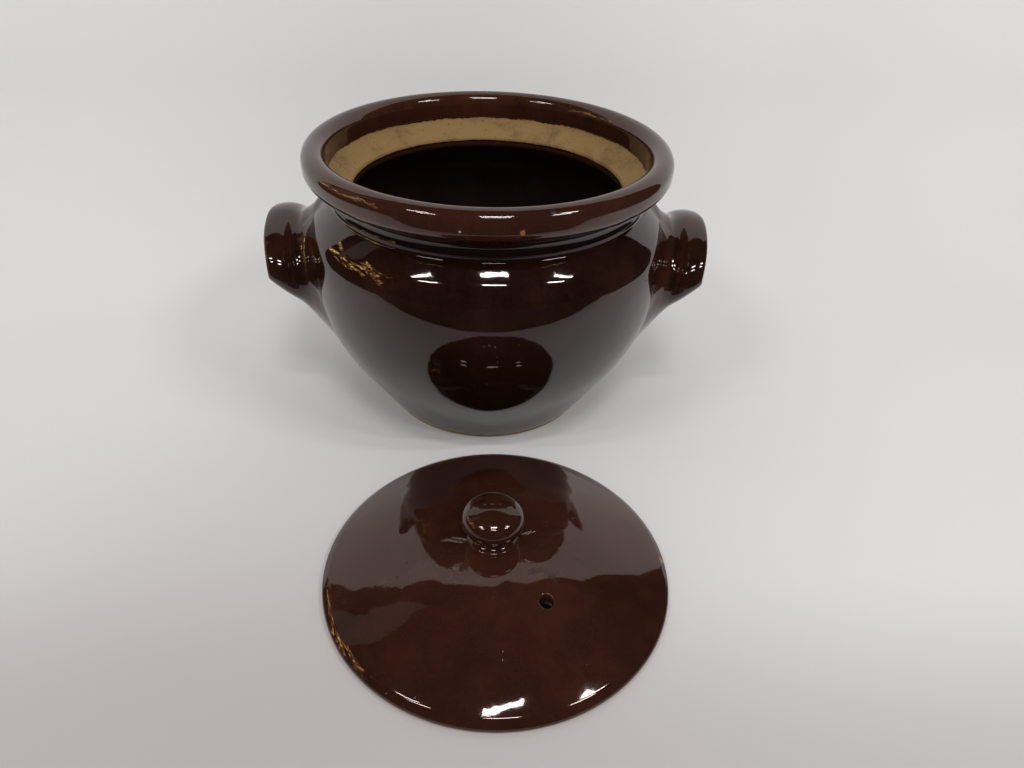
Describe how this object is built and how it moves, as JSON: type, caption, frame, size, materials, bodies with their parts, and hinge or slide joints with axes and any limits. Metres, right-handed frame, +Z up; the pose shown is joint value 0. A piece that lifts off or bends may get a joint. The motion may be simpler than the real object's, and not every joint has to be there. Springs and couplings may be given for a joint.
{
  "type": "bean pot",
  "caption": "Round glazed stoneware pot with a rolled rim, two solid lug handles at the sides and a loose domed lid with a ball knob.",
  "frame": {"origin": "centre of the pot's flat base, on the surface that it stands on", "axes": "+Z up; the two lug handles lie on X, +X the right one; the lid lies in front of the pot, towards -Y"},
  "size_m": [0.305, 0.4227, 0.19],
  "materials": {
    "pot_glaze": "thick treacle-brown gloss glaze, bare buff clay on the gallery and under the foot",
    "handle_glaze": "treacle-brown gloss glaze, thinner and amber along the arrises",
    "lid_glaze": "treacle-brown gloss glaze over the dome and knob, bare buff clay on the resting ring"
  },
  "bodies": {
    "pot": {"pot_body": "pot_glaze", "left_handle": "handle_glaze", "right_handle": "handle_glaze"},
    "lid": {"lid": "lid_glaze", "lid_knob": "lid_glaze"}
  },
  "joints": [
    {"name": "lid_lift", "type": "slide", "parent": "pot", "child": "lid", "axis": [0, -0.5, 0.866], "range_m": [0, 0.25]}
  ]
}
